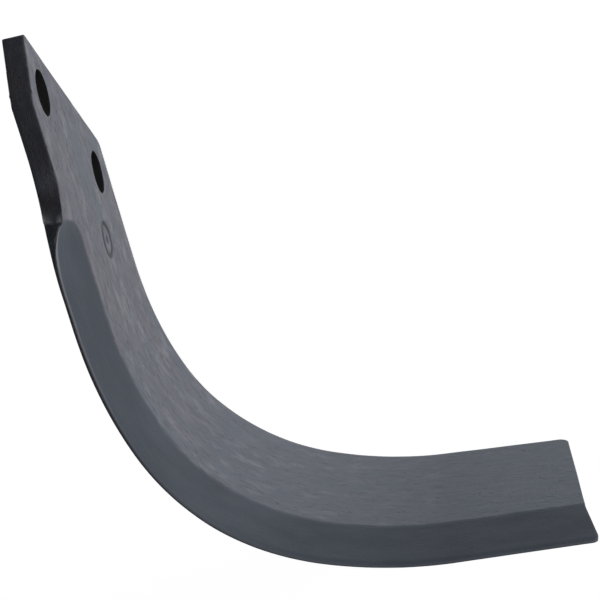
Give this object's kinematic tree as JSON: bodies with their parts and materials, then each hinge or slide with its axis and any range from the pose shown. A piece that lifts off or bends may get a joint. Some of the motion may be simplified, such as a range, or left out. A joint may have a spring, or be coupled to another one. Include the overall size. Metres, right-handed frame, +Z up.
{
  "type": "rotary tiller blade",
  "caption": "Curved rotary tiller blade: a flat steel shank with bolt holes, bent sideways into a wing, with a bevelled cutting edge along its front.",
  "frame": {"origin": "midway between the two bolt holes, on the shank's outer face, which seats on the rotor flange", "axes": "+X the way the wing is bent, +Y from the cutting edge to the back edge, +Z up the shank away from the wing"},
  "size_m": [0.1421, 0.136, 0.2389],
  "materials": {
    "forged_steel": "dark forging scale, satin"
  },
  "bodies": {
    "root": {"tiller_blade": "forged_steel"}
  },
  "joints": []
}
